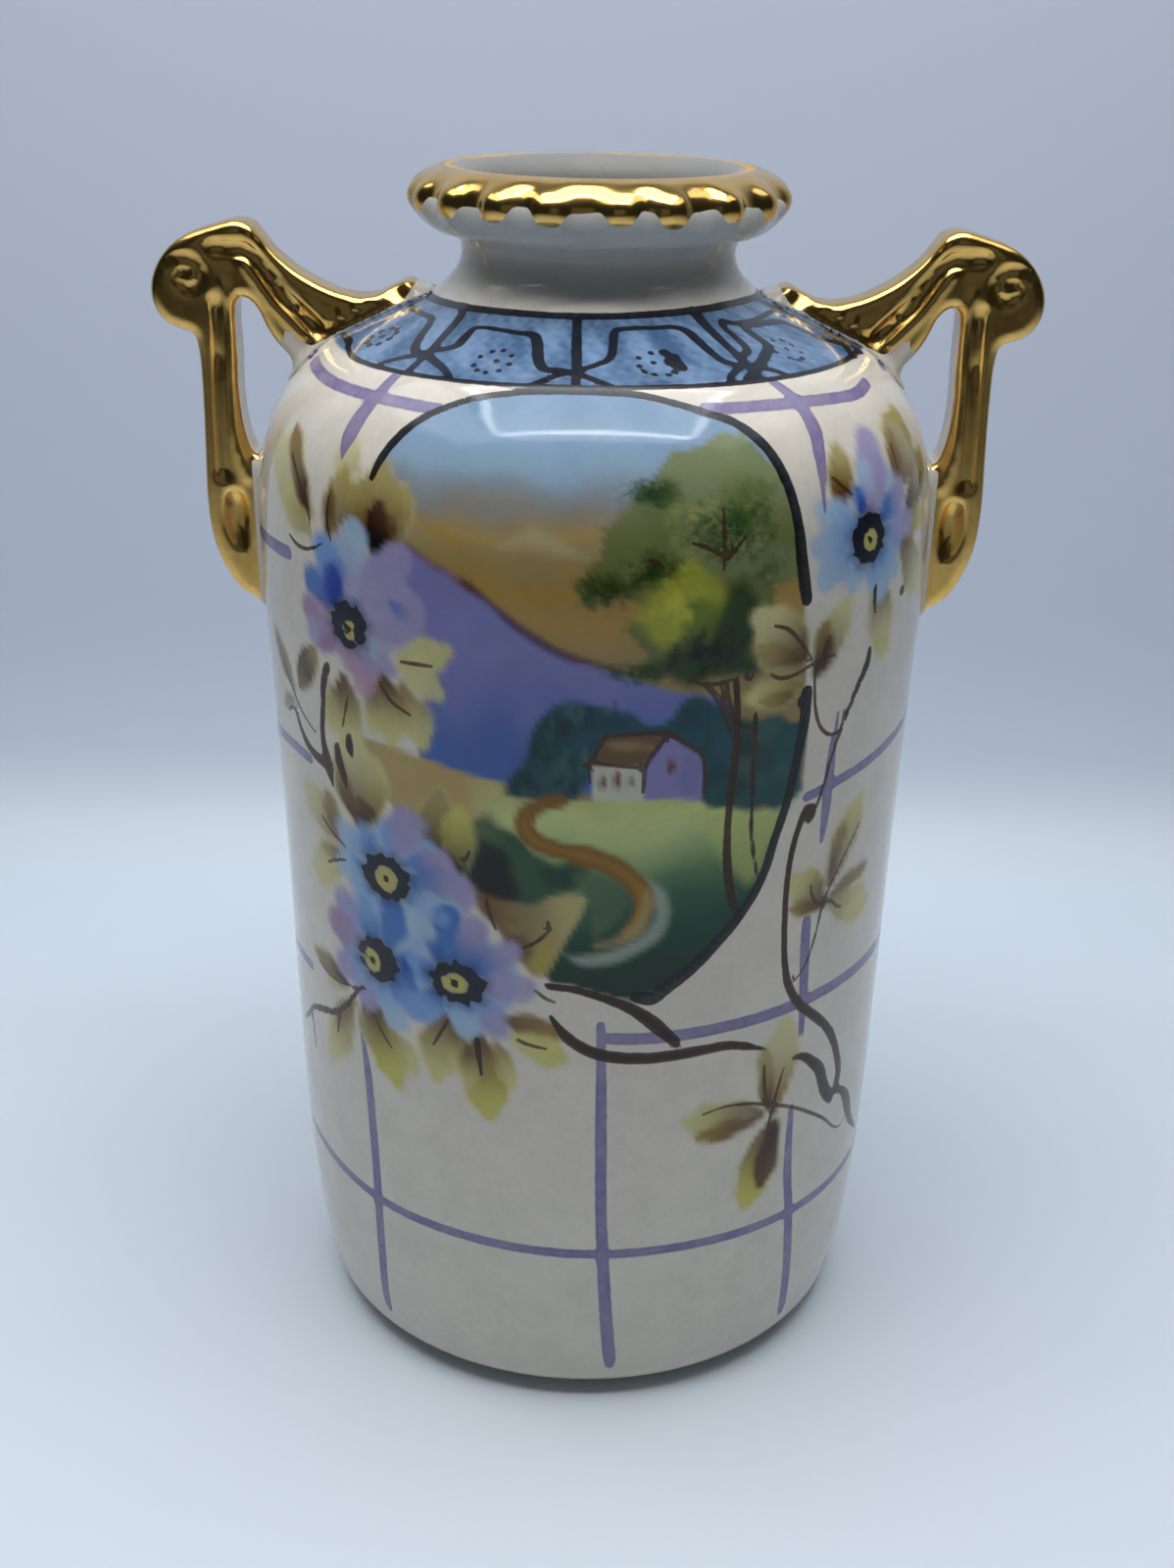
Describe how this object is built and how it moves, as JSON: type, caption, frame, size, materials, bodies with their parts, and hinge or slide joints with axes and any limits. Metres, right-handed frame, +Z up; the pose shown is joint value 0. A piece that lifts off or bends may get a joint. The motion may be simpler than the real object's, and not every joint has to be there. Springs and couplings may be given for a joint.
{
  "type": "two-handled vase",
  "caption": "Small shouldered porcelain vase with a short neck, a rolled bossed lip and two scrolled handles, painted with a landscape medallion and flowers.",
  "frame": {"origin": "centre of the foot ring, on the surface that the vase stands on", "axes": "+Z up along the turned axis, X through both handles, -Y towards the painted medallion"},
  "size_m": [0.1136, 0.0886, 0.16],
  "materials": {
    "porcelain": "glossy cream glaze with overglaze painting and burnished gilding on the handles and lip"
  },
  "bodies": {
    "root": {"vase": "porcelain"}
  },
  "joints": []
}
